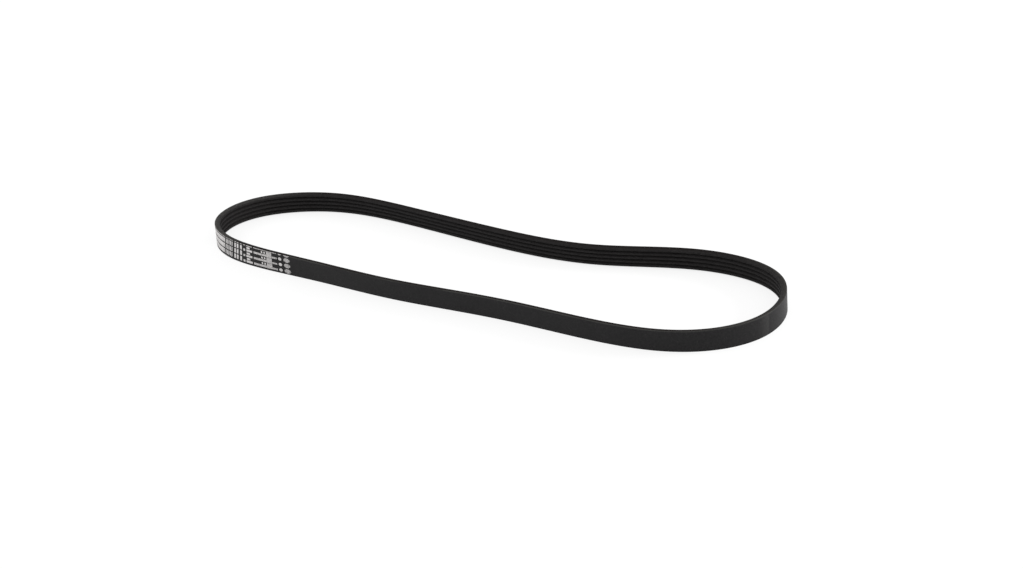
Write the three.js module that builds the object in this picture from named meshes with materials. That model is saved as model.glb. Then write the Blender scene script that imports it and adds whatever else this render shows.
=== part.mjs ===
// A multi-rib drive belt for a car engine's accessories, standing on its cut edge as an open loop.
// It is one endless moulding: a flat backing outside, V-shaped ribs inside, and both edges cut square.
// Millimetres, +Z up. The origin is in the middle of the loop, on the surface that the belt stands on.
import * as THREE from "three";

// Length of the belt, and where that length is measured
const EFFECTIVE_LENGTH = 1110; // at the rims of the grooved pulleys
const LINE_DIFFERENTIAL = 1.5; // from a pulley's rim out to the tension cords
const CORD_DEPTH = 1.1; // from the flat back in to the tension cords

// Cross-section
const RIB_COUNT = 5;
const RIB_PITCH = 3.56;
const FLANK_ANGLE = THREE.MathUtils.degToRad(20); // each flank, from square to the back
const BACKING = 2.0; // from the flat back to the bottom of a groove
const RIB_DEPTH = 2.4; // from the bottom of a groove to the tip of a rib
const ROOT_RADIUS = 0.25; // at the bottom of a groove
const TIP_RADIUS = 0.35; // at both corners of a rib's tip
const HALF_WIDTH = (RIB_COUNT * RIB_PITCH) / 2;

// How the loop lies as it stands, seen from above: the corners of a polygon that the belt's back
// rounds off as one smooth curve, anticlockwise from the narrow end. The curve is then brought to
// the belt's length. It is the back's line at half height. The third value is how many degrees the
// soft wall leans there: with more than 0 its foot stands further out than its top.
const LIE = [
  [-267, -16, 2],
  [-226, -50, 8],
  [-132, -53, -4],
  [-49, -63, -4],
  [50, -56, -2],
  [183, -74, -4],
  [256, -20, 0],
  [243, 57, 2],
  [158, 71, -1],
  [77, 39, 6],
  [-10, 45, 1],
  [-109, 60, 10],
  [-184, 67, 1],
  [-254, 35, -6],
];

// Fineness of the facets along the belt
const LONGEST_STEP = 30; // where the belt runs straight
const TURN_PER_STEP = THREE.MathUtils.degToRad(6); // where it bends
const SAMPLES = 2400; // points at which the bends are measured

// A closed uniform cubic B-spline inside a polygon of [x, y, lean] corners.
class ClosedSpline extends THREE.Curve {
  constructor(corners, scale) {
    super();
    this.corners = corners;
    this.scale = scale;
    this.arcLengthDivisions = SAMPLES;
  }

  // The four corners that shape the curve at t, each with its share.
  pulls(t) {
    const count = this.corners.length;
    const first = Math.floor(t * count);
    const w = t * count - first;
    const shares = [
      (1 - w) ** 3 / 6,
      (3 * w ** 3 - 6 * w ** 2 + 4) / 6,
      (-3 * w ** 3 + 3 * w ** 2 + 3 * w + 1) / 6,
      w ** 3 / 6,
    ];
    return shares.map((share, i) => [share, this.corners[(first + i) % count]]);
  }

  getPoint(t, target = new THREE.Vector2()) {
    target.set(0, 0);
    for (const [share, [x, y]] of this.pulls(t)) {
      target.x += share * x * this.scale;
      target.y += share * y * this.scale;
    }
    return target;
  }

  // The wall's lean at a place along the curve's length, in radians.
  leanAt(place) {
    const pulls = this.pulls(this.getUtoTmapping(place));
    return THREE.MathUtils.degToRad(pulls.reduce((sum, [share, corner]) => sum + share * corner[2], 0));
  }
}

// The line of the belt's back at half height, seen from above, at its true length. An offset of d from a loop
// that closes once makes it 2 pi d longer, so the length is carried out from the pulleys' rims.
function backLine() {
  const length = EFFECTIVE_LENGTH + 2 * Math.PI * (LINE_DIFFERENTIAL + CORD_DEPTH);
  const scale = length / new ClosedSpline(LIE, 1).getLength();
  return new ClosedSpline(LIE, scale);
}

// Half the width of a groove at a depth from the back, measured between its flanks.
function grooveHalfWidth(depth) {
  const apex = BACKING - ROOT_RADIUS * (1 / Math.sin(FLANK_ANGLE) - 1);
  return (depth - apex) * Math.tan(FLANK_ANGLE);
}

// The cross-section: x is the depth from the back, y the height above the lower edge.
// Each edge is cut through the middle of a groove, so half a groove is left there.
function section() {
  const tip = BACKING + RIB_DEPTH;
  const root = BACKING + ROOT_RADIUS;
  const quarter = Math.PI / 2;
  const flank = quarter + FLANK_ANGLE;
  const corner = quarter - FLANK_ANGLE;
  const cornerRise = grooveHalfWidth(tip - TIP_RADIUS) + TIP_RADIUS / Math.cos(FLANK_ANGLE);

  const outline = new THREE.Shape();
  outline.moveTo(0, 0);
  outline.lineTo(BACKING, 0);
  for (let rib = 0; rib < RIB_COUNT; rib++) {
    const below = rib * RIB_PITCH;
    const above = below + RIB_PITCH;
    if (rib === 0) outline.absarc(root, below, ROOT_RADIUS, Math.PI, flank, true);
    outline.absarc(tip - TIP_RADIUS, below + cornerRise, TIP_RADIUS, -corner, 0, false);
    outline.absarc(tip - TIP_RADIUS, above - cornerRise, TIP_RADIUS, 0, corner, false);
    const grooveEnd = rib === RIB_COUNT - 1 ? Math.PI : flank;
    outline.absarc(root, above, ROOT_RADIUS, -flank, grooveEnd, true);
  }
  outline.lineTo(0, RIB_COUNT * RIB_PITCH);
  return outline.getPoints(1);
}

// Places along the line for the rings of facets: closer together the tighter the line bends.
function stations(line) {
  const points = line.getSpacedPoints(SAMPLES);
  const headings = points.slice(1).map((p, i) => Math.atan2(p.y - points[i].y, p.x - points[i].x));
  const step = line.getLength() / SAMPLES;
  const cost = [0];
  for (let i = 0; i < SAMPLES; i++) {
    const turn = headings[(i + 1) % SAMPLES] - headings[i];
    const bend = Math.abs(Math.atan2(Math.sin(turn), Math.cos(turn)));
    cost.push(cost[i] + step / LONGEST_STEP + bend / TURN_PER_STEP);
  }
  const count = Math.ceil(cost[SAMPLES]);
  const places = [];
  for (let i = 0, ring = 0; ring < count; ring++) {
    const wanted = (ring / count) * cost[SAMPLES];
    while (cost[i + 1] < wanted) i++;
    places.push((i + (wanted - cost[i]) / (cost[i + 1] - cost[i])) / SAMPLES);
  }
  return places;
}

// The section carried round the closed line, as one shell with no seam. The wall leans about its
// half height, and both cut edges stay level, so the belt stands flat.
function beltGeometry() {
  const line = backLine();
  const profile = section();
  const places = stations(line);
  const positions = [];
  for (const place of places) {
    const at = line.getPointAt(place);
    const along = line.getTangentAt(place);
    const inward = new THREE.Vector2(-along.y, along.x);
    const slope = Math.tan(line.leanAt(place));
    for (const { x: depth, y: height } of profile) {
      const inset = depth + (height - HALF_WIDTH) * slope;
      positions.push(at.x + inward.x * inset, at.y + inward.y * inset, height);
    }
  }
  const faces = [];
  const across = profile.length;
  for (let ring = 0; ring < places.length; ring++) {
    const here = ring * across;
    const next = ((ring + 1) % places.length) * across;
    for (let j = 0; j < across; j++) {
      const k = (j + 1) % across;
      faces.push(here + j, here + k, next + k, here + j, next + k, next + j);
    }
  }
  const geometry = new THREE.BufferGeometry();
  geometry.setAttribute("position", new THREE.Float32BufferAttribute(positions, 3));
  geometry.setIndex(faces);
  geometry.computeVertexNormals();
  geometry.computeBoundingBox();
  const middle = geometry.boundingBox.getCenter(new THREE.Vector3());
  return geometry.translate(-middle.x, -middle.y, 0);
}

const rubber = new THREE.MeshStandardMaterial({ color: 0x1f1f20, roughness: 0.62, metalness: 0 });
const belt = new THREE.Mesh(beltGeometry(), rubber);
belt.name = "belt";

const loop = new THREE.Group();
loop.add(belt);
export default loop;
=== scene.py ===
"""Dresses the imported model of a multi-rib drive belt that stands on its cut edge.

The frame gives the belt's place, its width and the line along which it lies. This script sweeps a
fine section along that line, lays the print on the back, and sets up the floor, lamps and camera.
Lengths are in metres."""
import math

import bmesh
import bpy
import numpy as np
from bpy.props import (
    FloatProperty,
    FloatVectorProperty,
    IntProperty,
    PointerProperty,
)
from mathutils import Matrix, Vector


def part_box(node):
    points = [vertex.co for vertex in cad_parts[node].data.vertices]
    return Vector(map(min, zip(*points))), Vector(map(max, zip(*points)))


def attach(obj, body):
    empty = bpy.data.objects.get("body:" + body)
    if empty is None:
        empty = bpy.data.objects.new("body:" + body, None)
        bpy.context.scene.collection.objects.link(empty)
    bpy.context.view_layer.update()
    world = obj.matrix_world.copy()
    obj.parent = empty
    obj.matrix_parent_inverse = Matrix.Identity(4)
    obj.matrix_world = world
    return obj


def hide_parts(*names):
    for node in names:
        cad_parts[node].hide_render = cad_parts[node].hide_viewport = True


bl_info = {
    "name": "Ribbed drive belt",
    "version": (1, 0, 0),
    "blender": (4, 5, 0),
    "location": "View3D > Sidebar > Drive belt",
    "description": "Dresses a multi-rib drive belt that stands on its edge",
    "category": "Add Mesh",
}

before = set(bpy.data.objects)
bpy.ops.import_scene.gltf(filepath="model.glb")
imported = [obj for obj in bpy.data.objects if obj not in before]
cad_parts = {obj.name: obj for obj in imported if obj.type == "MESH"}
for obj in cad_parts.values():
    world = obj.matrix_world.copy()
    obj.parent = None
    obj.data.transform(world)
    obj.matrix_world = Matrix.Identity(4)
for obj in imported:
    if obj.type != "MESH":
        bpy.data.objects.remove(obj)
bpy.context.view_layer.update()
LOW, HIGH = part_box("belt")
WIDTH = HIGH[2] - LOW[2]  # across the belt, from cut edge to cut edge
MM = 0.001
LEVEL = 0.01 * MM  # heights and depths closer than this count as equal
DOUBLE = 0.001 * MM  # points closer than this count as one
DECIMALS = 7  # of a place in metres, when corners are gathered
SHARP = math.radians(40)  # faces that meet at more than this keep a crisp edge
WHITE = (1, 1, 1, 1)
UV = "along_and_up"


# Node trees

class Value:
    """A socket of a node tree. Arithmetic and comparisons with it add Math nodes to the tree."""

    def __init__(self, nodes, socket):
        self.nodes = nodes
        self.socket = socket

    def __add__(self, other):
        return self.nodes.math("ADD", self, other)

    def __sub__(self, other):
        return self.nodes.math("SUBTRACT", self, other)

    def __rsub__(self, other):
        return self.nodes.math("SUBTRACT", other, self)

    def __mul__(self, other):
        return self.nodes.math("MULTIPLY", self, other)

    def __gt__(self, other):
        return self.nodes.math("GREATER_THAN", self, other)

    def __lt__(self, other):
        return self.nodes.math("LESS_THAN", self, other)


class Nodes:
    """Builds a shader tree or a geometry tree."""

    def __init__(self, tree):
        self.tree = tree

    def add(self, kind, settings=None, inputs=None, output=0):
        """Adds a node: its settings first, then the values or links of its sockets.

        A socket is given by its name or by its number, counted from 0."""
        node = self.tree.nodes.new(kind)
        for name, value in (settings or {}).items():
            setattr(node, name, value)
        for key, value in (inputs or {}).items():
            self.feed(node.inputs[key], value)
        return Value(self, node.outputs[output])

    def feed(self, socket, value):
        """Sets or links one input socket."""
        if isinstance(value, Value):
            self.tree.links.new(value.socket, socket)
        else:
            socket.default_value = value

    def math(self, operation, *values):
        """Numbers put together by one operation."""
        return self.add("ShaderNodeMath", {"operation": operation}, dict(enumerate(values)))

    def vector_math(self, operation, *values):
        """Vectors put together by one operation."""
        return self.add("ShaderNodeVectorMath", {"operation": operation}, dict(enumerate(values)))

    def scaled(self, vector, factor):
        """A vector made longer or shorter."""
        return self.add("ShaderNodeVectorMath", {"operation": "SCALE"}, {0: vector, "Scale": factor})

    def step(self, value, low, high):
        """Rises smoothly from 0 at low to 1 at high."""
        settings = {"interpolation_type": "SMOOTHSTEP"}
        inputs = {"Value": value, "From Min": low, "From Max": high}
        return self.add("ShaderNodeMapRange", settings, inputs)

    def span(self, value, low, high):
        """Turns 0 to 1 into low to high."""
        return self.add("ShaderNodeMapRange", None, {"Value": value, "To Min": low, "To Max": high})

    def split(self, vector):
        """The three numbers of a vector."""
        node = self.tree.nodes.new("ShaderNodeSeparateXYZ")
        self.feed(node.inputs[0], vector)
        return [Value(self, socket) for socket in node.outputs]

    def blend(self, factor, first, second):
        """Mixes two colours."""
        settings = {"data_type": "RGBA", "clamp_factor": True}
        inputs = {"Factor": factor, "A": first, "B": second}
        return self.add("ShaderNodeMix", settings, inputs, output="Result")

    def attribute(self, name):
        """A named number of the mesh, in a shader tree."""
        return self.add("ShaderNodeAttribute", {"attribute_name": name}, output="Fac")

    def noise(self, vector, scale, detail, roughness):
        """A soft random pattern from 0 to 1, with scale as its cells in a metre."""
        inputs = {"Vector": vector, "Scale": scale, "Detail": detail, "Roughness": roughness}
        return self.add("ShaderNodeTexNoise", None, inputs)


def geometry_nodes(name, sockets):
    """An empty geometry tree with named inputs: (its nodes, a value for each input)."""
    tree = bpy.data.node_groups.new(name, "GeometryNodeTree")
    for label, kind in sockets.items():
        tree.interface.new_socket(label, in_out="INPUT", socket_type=kind)
    tree.interface.new_socket("Geometry", in_out="OUTPUT", socket_type="NodeSocketGeometry")
    nodes = Nodes(tree)
    source = tree.nodes.new("NodeGroupInput")
    return nodes, {label: Value(nodes, source.outputs[label]) for label in sockets}


def close_tree(nodes, geometry):
    """Ends a geometry tree in real geometry."""
    solid = nodes.add("GeometryNodeRealizeInstances", None, {0: geometry})
    sink = nodes.tree.nodes.new("NodeGroupOutput")
    nodes.feed(sink.inputs[0], solid)


def run_tree(piece, nodes, values):
    """Runs a geometry tree on a piece and keeps the result as its plain mesh."""
    modifier = piece.modifiers.new(nodes.tree.name, "NODES")
    modifier.node_group = nodes.tree
    for item in nodes.tree.interface.items_tree:
        if item.in_out == "INPUT" and item.name in values:
            modifier[item.identifier] = values[item.name]
    evaluated = piece.evaluated_get(bpy.context.evaluated_depsgraph_get())
    mesh = bpy.data.meshes.new_from_object(evaluated)
    piece.modifiers.clear()
    piece.data = mesh
    mesh.name = piece.name
    return mesh


# The line and the section

ARC_STEPS = 5  # faces on each rounded corner of a rib, and on half the bottom of a groove
EDGE_STEPS = 4  # faces where the back meets a cut edge
GUARD = 2.5  # a flat face starts this many edge radii from the edge, so that its shading stays flat


def rim_corners(level):
    """The belt's corners at a cut edge, in order round the loop: (the back's, the groove's)."""
    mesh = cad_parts["belt"].data
    places = {tuple(round(c, DECIMALS) for c in vertex.co) for vertex in mesh.vertices}
    rim = np.array([place for place in places if abs(place[2] - level) < LEVEL])
    gaps = np.linalg.norm(rim[:, None] - rim[None, :], axis=2)
    np.fill_diagonal(gaps, np.inf)
    partner = rim[gaps.argmin(axis=1)]
    is_outer = np.linalg.norm(rim, axis=1) > np.linalg.norm(partner, axis=1)
    back, inner = rim[is_outer], partner[is_outer]
    order = np.argsort(np.arctan2(back[:, 1], back[:, 0]))
    return back[order], inner[order]


def belt_rings():
    """The belt's rings in the frame, in order round the loop from its leftmost point.

    Each is the foot of the belt's back, the climb of the wall for each metre of height, and the
    way out of it. A ring's foot is the one that lies straight out from its top, or straight in,
    and no further away than half the belt's width."""
    top, inner = rim_corners(HIGH[2])
    feet, _ = rim_corners(LOW[2])
    outward = (top - inner) / np.linalg.norm(top - inner, axis=1)[:, None]
    way = feet[None, :, :2] - top[:, None, :2]
    sideways = np.abs(way[:, :, 0] * outward[:, None, 1] - way[:, :, 1] * outward[:, None, 0])
    sideways[np.linalg.norm(way, axis=2) > WIDTH / 2] = np.inf
    foot = feet[sideways.argmin(axis=1)]
    start = -int(foot[:, 0].argmin())
    foot, top, outward = [np.roll(rows, start, axis=0) for rows in (foot, top, outward)]
    return foot, (top - foot) / WIDTH, outward


def arc(centre, radius, start, end, steps):
    """Points on an arc, with angles in degrees."""
    angles = np.radians(np.linspace(start, end, steps + 1))
    return [(centre[0] + radius * math.cos(a), centre[1] + radius * math.sin(a)) for a in angles]


def section_points(size):
    """The section's outline as (depth from the back, height above the lower edge)."""
    pitch = WIDTH / size.ribs
    tip = size.backing + size.rib_depth
    root = size.backing + size.root_radius
    slope = math.tan(size.flank)
    apex = size.backing - size.root_radius * (1 / math.sin(size.flank) - 1)
    flank = 90 + math.degrees(size.flank)
    corner = 180 - flank
    centre = tip - size.tip_radius
    rise = (centre - apex) * slope + size.tip_radius / math.cos(size.flank)
    soft = size.edge_radius
    guard = GUARD * soft

    points = [(soft, 0), (guard, 0), (size.backing - soft, 0), (size.backing, 0)]
    for rib in range(size.ribs):
        low, high = rib * pitch, (rib + 1) * pitch
        if rib == 0:
            points += arc((root, low), size.root_radius, 180, flank, ARC_STEPS)
        points += arc((centre, low + rise), size.tip_radius, -corner, 0, ARC_STEPS)
        points += arc((centre, high - rise), size.tip_radius, 0, corner, ARC_STEPS)
        if rib < size.ribs - 1:
            points += arc((root, high), size.root_radius, -flank, flank - 360, 2 * ARC_STEPS)
        else:
            points += arc((root, high), size.root_radius, -flank, -180, ARC_STEPS)
    points += [(size.backing - soft, WIDTH), (guard, WIDTH)]
    points += arc((soft, WIDTH - soft), soft, 90, 180, EDGE_STEPS)
    points += [(0, WIDTH - guard), (0, WIDTH / 2), (0, guard)]
    points += arc((soft, soft), soft, 180, 270, EDGE_STEPS)[:-1]
    kept = [p for i, p in enumerate(points) if math.dist(p, points[i - 1]) > DOUBLE]
    return np.array(kept)


def ring_of_edges(name, points, **values):
    """A closed line as a mesh of edges, with named numbers or vectors at its points."""
    count = len(points)
    mesh = bpy.data.meshes.new(name)
    mesh.from_pydata([tuple(p) for p in points], [(i, (i + 1) % count) for i in range(count)], [])
    for label, data in values.items():
        flat = np.asarray(data, dtype=np.float32)
        kind, field = ("FLOAT_VECTOR", "vector") if flat.ndim == 2 else ("FLOAT", "value")
        mesh.attributes.new(label, kind, "POINT").data.foreach_set(field, flat.ravel())
    piece = bpy.data.objects.new(name, mesh)
    bpy.context.collection.objects.link(piece)
    return piece


def smooth_line(nodes, geometry, steps):
    """The line through the belt's rings as a smooth closed curve."""
    curve = nodes.add("GeometryNodeMeshToCurve", None, {0: geometry})
    curve = nodes.add("GeometryNodeCurveSplineType", {"spline_type": "CATMULL_ROM"}, {0: curve})
    curve = nodes.add("GeometryNodeSetSplineResolution", None, {0: curve, "Resolution": steps})
    return nodes.add("GeometryNodeResampleCurve", {"mode": "EVALUATED"}, {0: curve})


def named(nodes, name, kind="FLOAT"):
    """A named attribute, in a geometry tree."""
    return nodes.add("GeometryNodeInputNamedAttribute", {"data_type": kind}, {"Name": name})


def stored(nodes, geometry, name, value, kind="FLOAT"):
    """Stores a value at the points of a geometry."""
    settings = {"data_type": kind, "domain": "POINT"}
    inputs = {0: geometry, "Name": name, "Value": value}
    return nodes.add("GeometryNodeStoreNamedAttribute", settings, inputs)


def on_wall(nodes, foot, wall, outward, height, depth):
    """The place at a height up the belt's wall and a depth behind its back."""
    up = nodes.scaled(wall, height)
    inwards = nodes.scaled(nodes.vector_math("NORMALIZE", outward), depth)
    return nodes.vector_math("SUBTRACT", nodes.vector_math("ADD", foot, up), inwards)


def sweep_tree():
    """Carries a section round the line through the belt's rings, as one closed skin."""
    nodes, given = geometry_nodes("Ribbed sweep", {
        "Line": "NodeSocketGeometry",
        "Section": "NodeSocketObject",
        "Steps": "NodeSocketInt",
        "Backing": "NodeSocketFloat",
        "Back": "NodeSocketMaterial",
        "Edge": "NodeSocketMaterial",
        "Ribs": "NodeSocketMaterial",
        "Sharp angle": "NodeSocketFloat",
    })
    line = smooth_line(nodes, given["Line"], given["Steps"])
    place = nodes.add("GeometryNodeInputPosition")
    line = stored(nodes, line, "foot", place, "FLOAT_VECTOR")
    line = stored(nodes, line, "along", nodes.add("GeometryNodeSplineParameter", output="Length"))
    section = nodes.add("GeometryNodeObjectInfo", None, {"Object": given["Section"]}, output="Geometry")
    section = nodes.add("GeometryNodeMeshToCurve", None, {0: section})
    skin = nodes.add("GeometryNodeCurveToMesh", None, {"Curve": line, "Profile Curve": section})
    ring = [named(nodes, name, "FLOAT_VECTOR") for name in ("foot", "wall", "outward")]
    depth = named(nodes, "depth")
    there = on_wall(nodes, *ring, named(nodes, "height"), depth)
    skin = nodes.add("GeometryNodeSetPosition", None, {0: skin, "Position": there})
    finishes = {"Ribs": True, "Edge": depth < given["Backing"], "Back": depth < LEVEL}
    for finish, where in finishes.items():
        inputs = {0: skin, "Selection": where, "Material": given[finish]}
        skin = nodes.add("GeometryNodeSetMaterial", None, inputs)
    angle = nodes.add("GeometryNodeInputMeshEdgeAngle")
    skin = nodes.add("GeometryNodeSetShadeSmooth", {"domain": "EDGE"}, {
        0: skin,
        "Selection": angle > given["Sharp angle"],
        "Shade Smooth": False,
    })
    close_tree(nodes, skin)
    return nodes


def unwrap(mesh):
    """A UV map in metres: along the belt from its leftmost point, and up its wall."""
    along = np.empty(len(mesh.vertices), dtype=np.float32)
    height = np.empty_like(along)
    mesh.attributes["along"].data.foreach_get("value", along)
    mesh.attributes["height"].data.foreach_get("value", height)
    corners = np.empty(len(mesh.loops), dtype=np.int32)
    mesh.loops.foreach_get("vertex_index", corners)
    starts = np.array([face.loop_start for face in mesh.polygons])
    sides = np.array([face.loop_total for face in mesh.polygons])
    run = along[corners]
    longest = along.max()
    furthest = np.repeat(np.maximum.reduceat(run, starts), sides)
    run = np.where(furthest - run > longest / 2, run + longest, run)
    layer = mesh.uv_layers.new(name=UV)
    layer.uv.foreach_set("vector", np.column_stack([run, height[corners]]).ravel().astype(np.float32))


def face_outwards(mesh):
    """Turns a closed mesh the right way out."""
    shell = bmesh.new()
    shell.from_mesh(mesh)
    if shell.calc_volume(signed=True) < 0:
        bmesh.ops.reverse_faces(shell, faces=shell.faces)
        shell.to_mesh(mesh)
    shell.free()


# Finishes

# Noises, each as its cells in a metre, its detail and its roughness
FINE_GRAIN = (3500, 3, 0.6)
BACK_MOTTLE = (750, 3, 0.6)
BACK_CLOUDS = (60, 3, 0.6)
RIB_STREAKS = (120, 3, 0.6)
RIB_MOTTLE = (600, 3, 0.6)
CUT_GRAIN = (2600, 4, 0.65)
CUT_MOTTLE = (700, 3, 0.6)
CUT_CLOUDS = (150, 3, 0.6)
INK_GRAIN = (2500, 3, 0.6)
INK_PATCHES = (420, 2, 0.5)
SPECKS = (1500, 2, 0.5)
RIM_SHEEN_PATCHES = (16, 2, 0.5)

# The values of a noise between which a pattern rises from nothing to full
SPECK_RISE = (0.66, 0.74)
RIM_SHEEN_RISE = (0.4, 0.62)
MISSED_RISE = (0.58, 0.68)
THIN_RISE = (0.5, 0.75)

# How far a pattern darkens and lightens a colour, from the deepest to the faintest
DEEP = (0.2, 1.8)
STRONG = (0.3, 1.7)
MEDIUM = (0.4, 1.6)
SOFT = (0.78, 1.22)
FAINT = (0.85, 1.15)
LAYERED = (1.0, 1.2)

# How much dust, painted highlight and sheen, tint or missing ink shows, as shares or ranges of shares of
# 1
DUST_ON_BACK, DUST_ON_RIBS = 0.3, 0.2
RIM_SHEEN_SHARE = (0.12, 0.34)
SPLICE_SHARE = 0.1
OUTER_TINT = 0.5
FLANK_SHEEN, CUT_SHEEN = (0.0, 0.4), (0.0, 0.7)
WIDE_END_SHEEN = 0.55
MISSED_INK, THIN_INK = 0.6, 0.35

# Roughness, or its range
BACK_ROUGHNESS = (0.36, 0.58)
RIB_ROUGHNESS = (0.4, 0.7)
CUT_ROUGHNESS = (0.62, 0.82)
INK_ROUGHNESS = 0.6

# Relief: how deep it is, how strongly it shades, and the share of its first pattern
RUBBER_RELIEF, CUT_RELIEF, INK_RELIEF = 0.06 * MM, 0.08 * MM, 0.02 * MM
RUBBER_SHADING, INK_SHADING = 0.7, 0.5
THREAD_SHARE, STREAK_SHARE = 0.5, 0.6

# Places and lengths of the patterns
STREAK_STRETCH = (1.0, 1.0, 40.0)  # squeezed across the belt, so the streaks run along it
SPLICE_END = (0.5 * MM, 2 * MM)  # the sharp side of the splice mark fades between these
OUTER_FLANK = (1.2 * MM, 0.6 * MM)  # from a cut edge, where the outermost flanks' colour grows
RIM_SHEEN_DEPTH = 0.3 * MM  # how deep the painted highlight of the back's rim stays full on a cut edge
WAVE_RATE = 20  # radians of a wave texture in a metre, for each unit of its scale


def material(name, build):
    """A material whose shader's inputs come from build, as values by socket name."""
    made = bpy.data.materials.new(name)
    made.use_nodes = True
    nodes = Nodes(made.node_tree)
    shader = made.node_tree.nodes["Principled BSDF"]
    for socket, value in build(nodes).items():
        nodes.feed(shader.inputs[socket], value)
    return made


def bumped(nodes, height, distance, strength=RUBBER_SHADING):
    """A normal from a height of 0 to 1 that stands for a real distance."""
    inputs = {"Height": height, "Distance": distance, "Strength": strength}
    return nodes.add("ShaderNodeBump", None, inputs)


def object_place(nodes):
    """The place on a piece, in metres."""
    return nodes.add("ShaderNodeTexCoord", output="Object")


def tint(colour):
    """A colour as a vector, for Vector Math."""
    return tuple(colour)[:3]


def dusted(nodes, colour, place, finish, share):
    """The colour with fine pale specks of dust in it."""
    specks = nodes.step(nodes.noise(place, *SPECKS), *SPECK_RISE)
    return nodes.blend(specks * share, colour, tuple(finish.dust_and_sheen))


def splice(nodes, along, finish):
    """The mark where the cloth's ends meet across the back: soft on one side, sharp on the other."""
    sharp = finish.splice_place
    rise = nodes.step(along, sharp - finish.splice_width, sharp)
    return rise * (1 - nodes.step(along, *(sharp + past for past in SPLICE_END)))


def rim_sheen(nodes, place):
    """How pale the painted highlight along the back's rim is, in long patches."""
    patches = nodes.step(nodes.noise(place, *RIM_SHEEN_PATCHES), *RIM_SHEEN_RISE)
    return nodes.span(patches, *RIM_SHEEN_SHARE)


def end_sheen(nodes, place, finish):
    """Where the loop's two ends carry a painted sheen from the side lamps: 1 at the narrow end, less at
    the wide one.
    """
    x, _, _ = nodes.split(place)
    full = finish.sheen_from + finish.sheen_over
    narrow, wide = [nodes.step(x * side, finish.sheen_from, full) for side in (-1, 1)]
    return narrow + wide * WIDE_END_SHEEN


def weave(nodes, uv, finish):
    """Two sets of threads that cross at an angle, from 0 between the threads to 1 on them."""
    scale = 2 * math.pi / (WAVE_RATE * finish.weave_pitch)
    threads = []
    for angle in (finish.weave_angle, -finish.weave_angle):
        turned = nodes.add("ShaderNodeMapping", None, {"Vector": uv, "Rotation": (0, 0, angle)})
        inputs = {"Vector": turned, "Scale": scale}
        threads.append(nodes.add("ShaderNodeTexWave", {"bands_direction": "X"}, inputs, output="Fac"))
    return nodes.math("MAXIMUM", *threads)


def back_finish(nodes, finish):
    """The cloth-marked back: a fine bias weave pressed into matt rubber, with a painted highlight along
    its rim.
    """
    place = object_place(nodes)
    uv = nodes.add("ShaderNodeUVMap", {"uv_map": UV})
    along, height, _ = nodes.split(uv)
    threads = weave(nodes, uv, finish)
    grain = nodes.noise(place, *FINE_GRAIN)
    mottle = nodes.noise(place, *BACK_MOTTLE)
    clouds = nodes.noise(place, *BACK_CLOUDS)
    shade = nodes.span(mottle, *DEEP) * nodes.span(clouds, *FAINT) * nodes.span(threads, *SOFT)
    colour = nodes.scaled(tint(finish.back), shade)
    # Painted highlight: the back's upper rim is painted paler in long patches, for the light its rounded
    # corner catches from above; pale also holds the splice mark.
    rim = nodes.step(height, WIDTH - finish.rim, WIDTH) * rim_sheen(nodes, place)
    pale = nodes.math("MAXIMUM", rim, splice(nodes, along, finish) * SPLICE_SHARE)
    colour = nodes.blend(pale * nodes.span(mottle, *MEDIUM), colour, tuple(finish.dust_and_sheen))
    relief = threads * THREAD_SHARE + grain * (1 - THREAD_SHARE)
    return {
        "Base Color": dusted(nodes, colour, place, finish, DUST_ON_BACK),
        "Roughness": nodes.span(mottle, *BACK_ROUGHNESS),
        "Specular IOR Level": finish.gloss,
        "Normal": bumped(nodes, relief, RUBBER_RELIEF),
    }


def rib_finish(nodes, finish):
    """Ground ribs: fine streaks, grooves painted paler than the tips as light in them, and a little dust.
    """
    place = object_place(nodes)
    depth = nodes.attribute("depth")
    streaks = nodes.noise(nodes.vector_math("MULTIPLY", place, STREAK_STRETCH), *RIB_STREAKS)
    grain = nodes.noise(place, *FINE_GRAIN)
    mottle = nodes.noise(place, *RIB_MOTTLE)
    from_middle = nodes.math("ABSOLUTE", nodes.attribute("height") - WIDTH / 2)
    outermost = nodes.step(from_middle, *(WIDTH / 2 - inset for inset in OUTER_FLANK))
    # Painted light: the grooves are painted paler than the tips, for the light that reaches into them;
    # the rubber is the same.
    at_tip = nodes.step(depth, finish.groove_depth, finish.tip_depth)
    colour = nodes.blend(at_tip, tuple(finish.groove), tuple(finish.rib_tip))
    colour = nodes.blend(outermost * OUTER_TINT, colour, tuple(finish.edge))
    colour = nodes.scaled(colour, nodes.span(streaks, *STRONG) * nodes.span(mottle, *MEDIUM))
    # Painted sheen: the outermost flanks are painted paler at the loop's ends, where the side lamps light
    # them.
    painted_sheen = end_sheen(nodes, place, finish) * outermost * nodes.span(mottle, *FLANK_SHEEN)
    colour = nodes.blend(painted_sheen, colour, tuple(finish.dust_and_sheen))
    relief = streaks * STREAK_SHARE + grain * (1 - STREAK_SHARE)
    return {
        "Base Color": dusted(nodes, colour, place, finish, DUST_ON_RIBS),
        "Roughness": nodes.span(streaks, *RIB_ROUGHNESS),
        "Specular IOR Level": finish.cut_gloss,
        "Normal": bumped(nodes, relief, RUBBER_RELIEF),
    }


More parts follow.
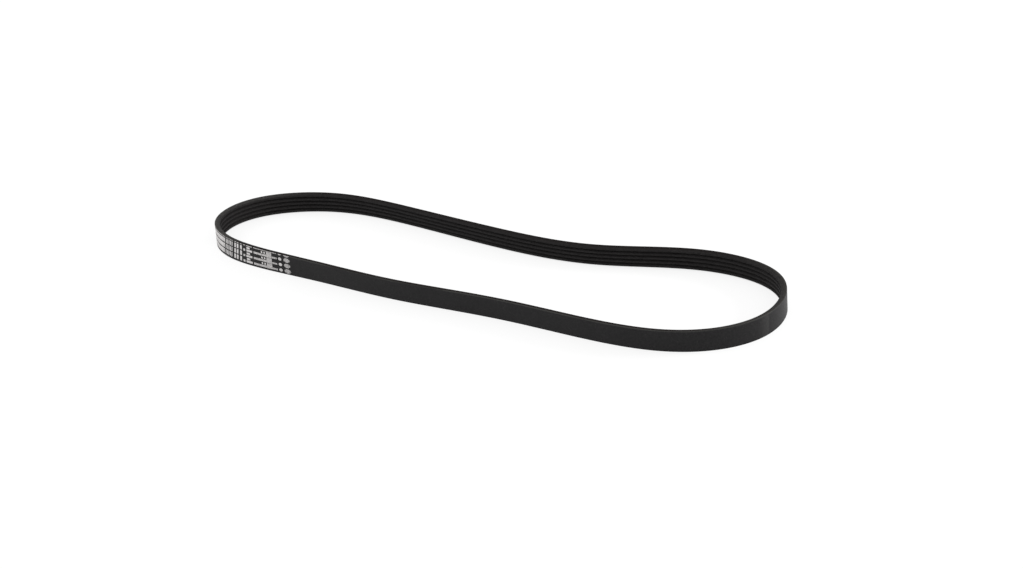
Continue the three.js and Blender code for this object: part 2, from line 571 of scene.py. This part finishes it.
def edge_finish(nodes, finish):
    """The cut edges: rough and slightly brown, with faint layers, and a painted sheen at the rim and the
    loop's ends.
    """
    place = object_place(nodes)
    grain = nodes.noise(place, *CUT_GRAIN)
    mottle = nodes.noise(place, *CUT_MOTTLE)
    clouds = nodes.noise(place, *CUT_CLOUDS)
    depth = nodes.attribute("depth")
    layers = nodes.math("SINE", depth * (2 * math.pi / finish.layer_pitch))
    colour = nodes.blend(clouds, tuple(finish.edge), tuple(finish.edge_pale))
    colour = nodes.scaled(colour, nodes.span(mottle, *STRONG) * nodes.span(layers, *LAYERED))
    # Painted highlight: the cut edge is painted paler next to the back, the same highlight as along the
    # rim.
    rim = (1 - nodes.step(depth, RIM_SHEEN_DEPTH, finish.rim)) * rim_sheen(nodes, place)
    colour = nodes.blend(rim, colour, tuple(finish.dust_and_sheen))
    # Painted sheen: the cut edges are painted paler at the loop's ends, where the side lamps light them.
    painted_sheen = end_sheen(nodes, place, finish) * nodes.span(mottle, *CUT_SHEEN)
    return {
        "Base Color": nodes.blend(painted_sheen, colour, tuple(finish.dust_and_sheen)),
        "Roughness": nodes.span(mottle, *CUT_ROUGHNESS),
        "Specular IOR Level": finish.cut_gloss,
        "Normal": bumped(nodes, grain, CUT_RELIEF),
    }


def ink_finish(nodes, finish):
    """Pale ink that thins out in patches and misses the rubber in fine gaps."""
    place = object_place(nodes)
    grain = nodes.noise(place, *INK_GRAIN)
    gaps = nodes.step(grain, *MISSED_RISE)
    thin = nodes.step(nodes.noise(place, *INK_PATCHES), *THIN_RISE)
    missed = gaps * MISSED_INK + thin * THIN_INK
    return {
        "Base Color": nodes.blend(missed, tuple(finish.ink), tuple(finish.back)),
        "Roughness": INK_ROUGHNESS,
        "Specular IOR Level": finish.gloss,
        "Normal": bumped(nodes, grain, INK_RELIEF, INK_SHADING),
    }


# Print

# In millimetres: along the back from the loop's leftmost point, and up from a row's base line
ROWS = (17.2, 12.2, 7.05, 1.9)  # heights of the base lines, the top row cut by the edge
LOWER, UPPER, TALL, BAR = (0.0, 1.9), (2.5, 4.2), (0.1, 4.2), (0.1, 4.1)  # lines of a row
BLOCKS = (  # left, right, line
    (62.7, 64.7, TALL),
    (65.9, 68.0, TALL),
    (70.1, 72.3, BAR),
    (74.2, 76.3, LOWER),
    (77.7, 84.5, LOWER),
    (78.1, 81.9, UPPER),
    (94.7, 96.2, UPPER),
    (97.6, 99.1, UPPER),
    (110.4, 111.3, (0.0, 1.6)),
)
COMBS = (  # left, right, line, width of a tooth, tooth to tooth
    (20.0, 48.2, BAR, 2.3, 2.6),
    (50.0, 60.4, TALL, 1.15, 2.2),
    (86.2, 100.2, LOWER, 0.8, 1.0),
    (100.4, 106.1, (-0.2, 4.6), 0.7, 0.95),
    (106.4, 109.9, (0.0, 1.6), 0.7, 0.95),
)
DOT = {"centre": (114.8, 1.1), "size": (3.5, 2.9)}
BADGE = {"centre": (121.8, 1.1), "size": (6.4, 3.8), "slat": 0.5, "pitch": 0.8}
OVAL_CORNERS = 24

# In metres, apart from the two shares
CUT_GAP = 1e-7  # corners closer than this to a cut lie on it
LEAN = 0.06  # how far the print runs ahead, as a share of the height above the wall's middle
END_LEAN = 0.17  # what is added to that share near the leftmost point
LEAN_FROM, LEAN_OVER = 118 * MM, 70 * MM  # where that starts, and how far on it is full


def flat_marks(layout):
    """The print laid out flat: x along the belt, y up its wall, as thin closed slabs."""
    sheet = bmesh.new()
    for base in ROWS:
        for left, right, line in BLOCKS:
            add_block(sheet, left, right, line, base)
        for left, right, line, tooth, pitch in COMBS:
            for start in np.arange(left, right - tooth / 2, pitch):
                add_block(sheet, start, min(start + tooth, right), line, base)
        add_outline(sheet, oval(DOT["centre"], DOT["size"], base))
        add_badge(sheet, base)
    for height, outwards in ((layout.margin, -1), (WIDTH - layout.margin, 1)):
        cut(sheet, (0, height, 0), (0, outwards, 0), clear=True)
    xs = [v.co.x for v in sheet.verts]
    for x in np.arange(min(xs) + layout.step, max(xs), layout.step):
        cut(sheet, (x, 0, 0), (1, 0, 0))
    for vertex in sheet.verts:
        vertex.co.x += stagger(vertex.co.x, vertex.co.y)
    return thickened(sheet, layout.thickness)


def thickened(sheet, proud):
    """A flat sheet as a mesh of slabs that stand as proud of z = 0 as they reach below it."""
    for face in sheet.faces:
        if face.normal.z < 0:
            face.normal_flip()
    bmesh.ops.solidify(sheet, geom=sheet.faces[:], thickness=2 * proud)
    middle = (max(v.co.z for v in sheet.verts) + min(v.co.z for v in sheet.verts)) / 2
    bmesh.ops.translate(sheet, verts=sheet.verts, vec=(0, 0, -middle))
    mesh = bpy.data.meshes.new("print")
    sheet.to_mesh(mesh)
    sheet.free()
    return mesh


def stagger(along, height):
    """How far the print runs ahead at a height: more, the nearer to the narrow end."""
    lean = LEAN + END_LEAN * (max(0.0, LEAN_FROM - along) / LEAN_OVER) ** 2
    return lean * (height - WIDTH / 2)


def oval(centre, size, base):
    """The corners of an oval above a row's base line."""
    angles = [2 * math.pi * i / OVAL_CORNERS for i in range(OVAL_CORNERS)]
    x, y = centre[0], base + centre[1]
    return [(x + size[0] / 2 * math.cos(a), y + size[1] / 2 * math.sin(a)) for a in angles]


def add_outline(sheet, outline):
    """One flat face, from corners in millimetres."""
    face = sheet.faces.new([sheet.verts.new((x * MM, y * MM, 0)) for x, y in outline])
    face.normal_update()


def add_block(sheet, left, right, line, base):
    """One rectangle on a line of a row."""
    low, high = base + line[0], base + line[1]
    add_outline(sheet, [(left, low), (right, low), (right, high), (left, high)])


def add_badge(sheet, base):
    """An oval of level slats."""
    (x, y), (width, height) = BADGE["centre"], BADGE["size"]
    for low in np.arange(-height / 2, height / 2, BADGE["pitch"]):
        middle = low + BADGE["slat"] / 2
        half = width / 2 * math.sqrt(max(0.0, 1 - (2 * middle / height) ** 2))
        add_block(sheet, x - half, x + half, (y + low, y + low + BADGE["slat"]), base)


def cut(sheet, place, normal, clear=False):
    """Cuts the sheet along a plane, and drops what lies beyond it if asked."""
    geometry = sheet.verts[:] + sheet.edges[:] + sheet.faces[:]
    bmesh.ops.bisect_plane(
        sheet, geom=geometry, dist=CUT_GAP, plane_co=place, plane_no=normal, clear_outer=clear
    )


def lay_tree():
    """Lays flat marks on the belt's back: x along the line, y up the wall, z out of it."""
    nodes, given = geometry_nodes("Lay on the back", {
        "Marks": "NodeSocketGeometry",
        "Line": "NodeSocketObject",
        "Steps": "NodeSocketInt",
        "Ink": "NodeSocketMaterial",
    })
    line = nodes.add("GeometryNodeObjectInfo", None, {"Object": given["Line"]}, output="Geometry")
    line = smooth_line(nodes, line, given["Steps"])
    along, height, proud = nodes.split(nodes.add("GeometryNodeInputPosition"))

    def sampled(value, output):
        """What the line has at the mark's place along it."""
        settings = {"mode": "LENGTH", "data_type": "FLOAT_VECTOR", "use_all_curves": True}
        inputs = {"Curves": line, "Value": value, "Length": along}
        return nodes.add("GeometryNodeSampleCurve", settings, inputs, output=output)

    wall = sampled(named(nodes, "wall", "FLOAT_VECTOR"), "Value")
    outward = sampled(named(nodes, "outward", "FLOAT_VECTOR"), "Value")
    foot = sampled(named(nodes, "wall", "FLOAT_VECTOR"), "Position")
    there = on_wall(nodes, foot, wall, outward, height, proud * -1)
    marks = nodes.add("GeometryNodeSetPosition", None, {0: given["Marks"], "Position": there})
    marks = nodes.add("GeometryNodeSetMaterial", None, {0: marks, "Material": given["Ink"]})
    close_tree(nodes, marks)
    return nodes


# What a user would change

def length_of(name, description, millimetres):
    """A length that a user can change."""
    metres = millimetres * MM
    return FloatProperty(name=name, description=description, default=metres, unit="LENGTH")


def angle_of(name, description, degrees):
    """An angle that a user can change."""
    turn = math.radians(degrees)
    return FloatProperty(name=name, description=description, default=turn, subtype="ANGLE")


def colour_of(name, description, shade):
    """A colour that a user can change."""
    return FloatVectorProperty(
        name=name, description=description, size=4, subtype="COLOR", min=0, max=1, default=(*shade, 1)
    )


def gloss_of(name, description, level):
    """A specular level that a user can change."""
    return FloatProperty(name=name, description=description, default=level, min=0, max=1)


def power_of(name, description, watts):
    """A lamp's power that a user can change."""
    return FloatProperty(name=name, description=description, default=watts, unit="POWER")


class BeltSection(bpy.types.PropertyGroup):
    """Sizes of the belt's section."""

    ribs: IntProperty(name="Ribs", description="Number of ribs", default=5, min=1)
    backing: length_of("Backing", "Flat back to groove bottom", 2.0)
    rib_depth: length_of("Rib depth", "Groove bottom to rib tip", 2.4)
    flank: angle_of("Flank", "Lean of each flank", 20)
    root_radius: length_of("Root radius", "At the bottom of a groove", 0.25)
    tip_radius: length_of("Tip radius", "At the corners of a rib's tip", 0.35)
    edge_radius: length_of("Edge radius", "Where the back meets a cut edge", 0.1)
    steps: IntProperty(name="Steps", description="Rings between two rings of the frame", default=5, min=1)


class BeltFinish(bpy.types.PropertyGroup):
    """Colours of the rubber and the ink, and the sizes of what shows on them."""

    back: colour_of("Back", "Colour of the back", (0.0112, 0.0107, 0.0111))
    rib_tip: colour_of("Rib tips", "Colour of the tips", (0.0182, 0.0170, 0.0172))
    # Painted light: the grooves' colour is paler than the tips' to stand in for light inside them.
    groove: colour_of("Grooves", "Colour in the grooves", (0.0220, 0.0206, 0.0206))
    edge: colour_of("Edges", "Colour of the cut edges", (0.0052, 0.0039, 0.0036))
    edge_pale: colour_of("Pale edges", "Paler patches of the edges", (0.0092, 0.0071, 0.0065))
    # Painted highlight and sheen: this pale colour paints the rim highlight and the sheen at the ends, as
    # well as real dust specks and the splice mark.
    dust_and_sheen: colour_of("Dust", "Colour of the dust and of what is rubbed or worn", (0.10, 0.10, 0.095))
    ink: colour_of("Ink", "Colour of the print", (0.54, 0.525, 0.52))
    gloss: gloss_of("Gloss", "Specular level of the back and the ink", 0.11)
    cut_gloss: gloss_of("Cut gloss", "Specular level of the ribs and the edges", 0.035)
    weave_pitch: length_of("Weave pitch", "Thread to thread in the cloth mark", 0.8)
    weave_angle: angle_of("Weave angle", "Lean of the threads", 60)
    layer_pitch: length_of("Layer pitch", "Layer to layer across a cut edge", 0.9)
    # Painted sheen: these two place the paler paint at the loop's ends that stands in for the side lamps'
    # sheen.
    sheen_from: length_of("Worn from", "Middle of the loop to where its ends start to be worn", 180)
    sheen_over: length_of("Worn over", "How far that wear takes to grow", 60)
    splice_place: length_of("Splice", "Along the back, from the narrow end", 537.5)
    splice_width: length_of("Splice width", "How far the pale mark fades", 10)
    # Painted highlight: rim is the width of the pale strip painted as a highlight along the back's upper
    # edge and on the cut edges next to it.
    rim: length_of("Rim", "Width of the rubbed strip where the back meets its upper edge", 1.0)
    groove_depth: length_of("Groove colour", "Depth to which the grooves keep their colour", 3.0)
    tip_depth: length_of("Tip colour", "Depth from which the tips have theirs", 4.3)


class PrintLayout(bpy.types.PropertyGroup):
    """How the print lies on the back."""

    thickness: length_of("Thickness", "How far the ink stands out", 0.02)
    margin: length_of("Margin", "Bare rubber at both edges", 0.05)
    step: length_of("Step", "Longest face along the belt", 0.8)


class BeltStage(bpy.types.PropertyGroup):
    """The camera, the lamps and the floor."""

    target: FloatVectorProperty(
        name="Target",
        description="Where the camera looks",
        subtype="TRANSLATION",
        default=(0.0323, -0.0071, 0),
    )
    distance: length_of("Distance", "From the camera to its target", 1282.6)
    azimuth: angle_of("Azimuth", "Of the camera", 30.08)
    elevation: angle_of("Elevation", "Of the camera", 29.28)
    roll: angle_of("Roll", "Of the camera about its own axis", -5.7)
    lens: FloatProperty(name="Lens", description="Focal length in millimetres", default=57.21)
    sky: FloatProperty(name="Sky", description="Strength of the light from all round", default=0.9)
    top: power_of("Top lamp", "Power of the lamp overhead", 2)
    right: power_of("Right lamp", "Power of the lamp on the right", 15.5)
    left: power_of("Left lamp", "Power of the lamp on the left", 7)
    floor: length_of("Floor", "Side of the floor", 8000)


# Operators

class DRIVEBELT_OT_moulding(bpy.types.Operator):
    """Makes the belt: its ribbed section swept round the line on which the belt lies"""

    bl_idname = "drivebelt.moulding"
    bl_label = "Moulding"

    def execute(self, context):
        size, finish = context.scene.belt_section, context.scene.belt_finish
        foot, wall, outward = belt_rings()
        belt = ring_of_edges("belt_moulding", foot, wall=wall, outward=outward)
        outline = section_points(size)
        flat = np.column_stack([outline, np.zeros(len(outline))])
        section = ring_of_edges("section", flat, depth=outline[:, 0], height=outline[:, 1])
        mesh = run_tree(belt, sweep_tree(), {
            "Section": section,
            "Steps": size.steps,
            "Backing": size.backing,
            "Back": material("rubber back", lambda nodes: back_finish(nodes, finish)),
            "Edge": material("cut edge", lambda nodes: edge_finish(nodes, finish)),
            "Ribs": material("ground ribs", lambda nodes: rib_finish(nodes, finish)),
            "Sharp angle": SHARP,
        })
        bpy.data.objects.remove(section)
        face_outwards(mesh)
        unwrap(mesh)
        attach(belt, "root")
        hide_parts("belt")
        return {"FINISHED"}


class DRIVEBELT_OT_print(bpy.types.Operator):
    """Lays rows of plain bars, blocks and ovals on the belt's back"""

    bl_idname = "drivebelt.print"
    bl_label = "Print"

    def execute(self, context):
        size, finish = context.scene.belt_section, context.scene.belt_finish
        foot, wall, outward = belt_rings()
        line = ring_of_edges("line", foot, wall=wall, outward=outward)
        marks = bpy.data.objects.new("print_marks", flat_marks(context.scene.belt_print))
        context.collection.objects.link(marks)
        run_tree(marks, lay_tree(), {
            "Line": line,
            "Steps": size.steps,
            "Ink": material("pale ink", lambda nodes: ink_finish(nodes, finish)),
        })
        bpy.data.objects.remove(line)
        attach(marks, "root")
        return {"FINISHED"}


class DRIVEBELT_OT_stage(bpy.types.Operator):
    """Sets up the floor, the lamps, the sky and the camera"""

    bl_idname = "drivebelt.stage"
    bl_label = "Stage"

    def execute(self, context):
        stage = context.scene.belt_stage
        context.scene.view_settings.view_transform = "Standard"
        make_floor(stage.floor)
        make_sky(context.scene, stage.sky)
        for name, (place, aim, side) in LAMPS.items():
            make_lamp(f"{name} lamp", place, aim, side, getattr(stage, name))
        make_camera(context.scene, stage)
        return {"FINISHED"}


# Stage

LAMPS = {  # place, what it faces, side
    "top": ((0.1, -0.1, 1.4), (0, 0, 0), 1.6),
    "right": ((1.2, 0.56, 0.4), (0.2, 0, 0), 0.4),
    "left": ((-1.3, -0.3, 0.6), (-0.2, 0, 0), 0.9),
}
FLOOR_DROP = 0.02 * MM  # the floor lies this far below the belt
FLOOR_PAINT = (0.95, 0.95, 0.95, 1)
FLOOR_GLOW = 0.8  # share of the floor's white that takes no shadow
SENSOR = 36  # width of the camera's sensor in millimetres


def seen_directly(nodes):
    """1 for rays from the camera and for rays mirrored or let through by a piece."""
    path = nodes.tree.nodes.new("ShaderNodeLightPath")
    kinds = ("Is Camera Ray", "Is Glossy Ray", "Is Transmission Ray")
    camera, glossy, through = [Value(nodes, path.outputs[kind]) for kind in kinds]
    return nodes.math("MINIMUM", camera + glossy + through, 1.0)


def make_floor(side):
    """A white floor that keeps the belt's soft shadow."""
    half = side / 2
    mesh = bpy.data.meshes.new("floor")
    level = LOW[2] - FLOOR_DROP
    corners = [(-half, -half, level), (half, -half, level), (half, half, level), (-half, half, level)]
    mesh.from_pydata(corners, [], [(0, 1, 2, 3)])
    floor = bpy.data.objects.new("floor", mesh)
    bpy.context.collection.objects.link(floor)
    paint = bpy.data.materials.new("white floor")
    paint.use_nodes = True
    nodes = Nodes(paint.node_tree)
    paint.node_tree.nodes.clear()
    matt = nodes.add("ShaderNodeBsdfDiffuse", None, {"Color": FLOOR_PAINT})
    glow = nodes.add("ShaderNodeEmission", None, {"Color": WHITE, "Strength": 1.0})
    share = seen_directly(nodes) * FLOOR_GLOW
    mixed = nodes.add("ShaderNodeMixShader", None, {"Fac": share, 1: matt, 2: glow})
    output = paint.node_tree.nodes.new("ShaderNodeOutputMaterial")
    nodes.feed(output.inputs["Surface"], mixed)
    mesh.materials.append(paint)


def make_sky(scene, strength):
    """An even sky that the camera sees as white."""
    world = bpy.data.worlds.new("sky")
    world.use_nodes = True
    scene.world = world
    nodes = Nodes(world.node_tree)
    background = world.node_tree.nodes["Background"]
    nodes.feed(background.inputs["Color"], WHITE)
    direct = seen_directly(nodes)
    nodes.feed(background.inputs["Strength"], direct + (1 - direct) * strength)


def make_lamp(name, place, aim, side, power):
    """A square lamp that faces a point."""
    lamp = bpy.data.lights.new(name, "AREA")
    lamp.shape = "SQUARE"
    lamp.size = side
    lamp.energy = power
    holder = bpy.data.objects.new(name, lamp)
    holder.location = place
    holder.rotation_mode = "QUATERNION"
    holder.rotation_quaternion = (Vector(aim) - Vector(place)).to_track_quat("-Z", "Y")
    bpy.context.collection.objects.link(holder)


def make_camera(scene, stage):
    """The camera at the photo's angle."""
    level = math.cos(stage.elevation)
    back = Vector((
        math.sin(stage.azimuth) * level,
        -math.cos(stage.azimuth) * level,
        math.sin(stage.elevation),
    ))
    lens = bpy.data.cameras.new("camera")
    lens.sensor_width = SENSOR
    lens.lens = stage.lens
    camera = bpy.data.objects.new("camera", lens)
    camera.location = Vector(stage.target) + back * stage.distance
    turn = Matrix.Rotation(stage.roll, 4, "Z")
    camera.rotation_mode = "QUATERNION"
    aim = (-back).to_track_quat("-Z", "Y").to_matrix().to_4x4()
    camera.rotation_quaternion = (aim @ turn).to_quaternion()
    bpy.context.collection.objects.link(camera)
    scene.camera = camera


# Panel and registration

class DRIVEBELT_PT_panel(bpy.types.Panel):
    """Lists the belt's operators and everything that a user can change"""

    bl_idname = "DRIVEBELT_PT_panel"
    bl_label = "Drive belt"
    bl_space_type = "VIEW_3D"
    bl_region_type = "UI"
    bl_category = "Drive belt"

    def draw(self, context):
        for operator in OPERATORS:
            self.layout.operator(operator.bl_idname)
        for name in GROUPS:
            group = getattr(context.scene, name)
            box = self.layout.box()
            for prop in group.bl_rna.properties:
                if prop.identifier not in ("name", "rna_type"):
                    box.prop(group, prop.identifier)


OPERATORS = (DRIVEBELT_OT_moulding, DRIVEBELT_OT_print, DRIVEBELT_OT_stage)
GROUPS = {
    "belt_section": BeltSection,
    "belt_finish": BeltFinish,
    "belt_print": PrintLayout,
    "belt_stage": BeltStage,
}


def register():
    for cls in (*GROUPS.values(), *OPERATORS, DRIVEBELT_PT_panel):
        bpy.utils.register_class(cls)
    for name, group in GROUPS.items():
        setattr(bpy.types.Scene, name, PointerProperty(type=group))


def unregister():
    for name in GROUPS:
        delattr(bpy.types.Scene, name)
    for cls in (DRIVEBELT_PT_panel, *reversed(OPERATORS), *reversed(list(GROUPS.values()))):
        bpy.utils.unregister_class(cls)


def main():
    register()
    bpy.ops.drivebelt.stage()
    bpy.ops.drivebelt.moulding()
    bpy.ops.drivebelt.print()


if __name__ == "__main__":
    main()
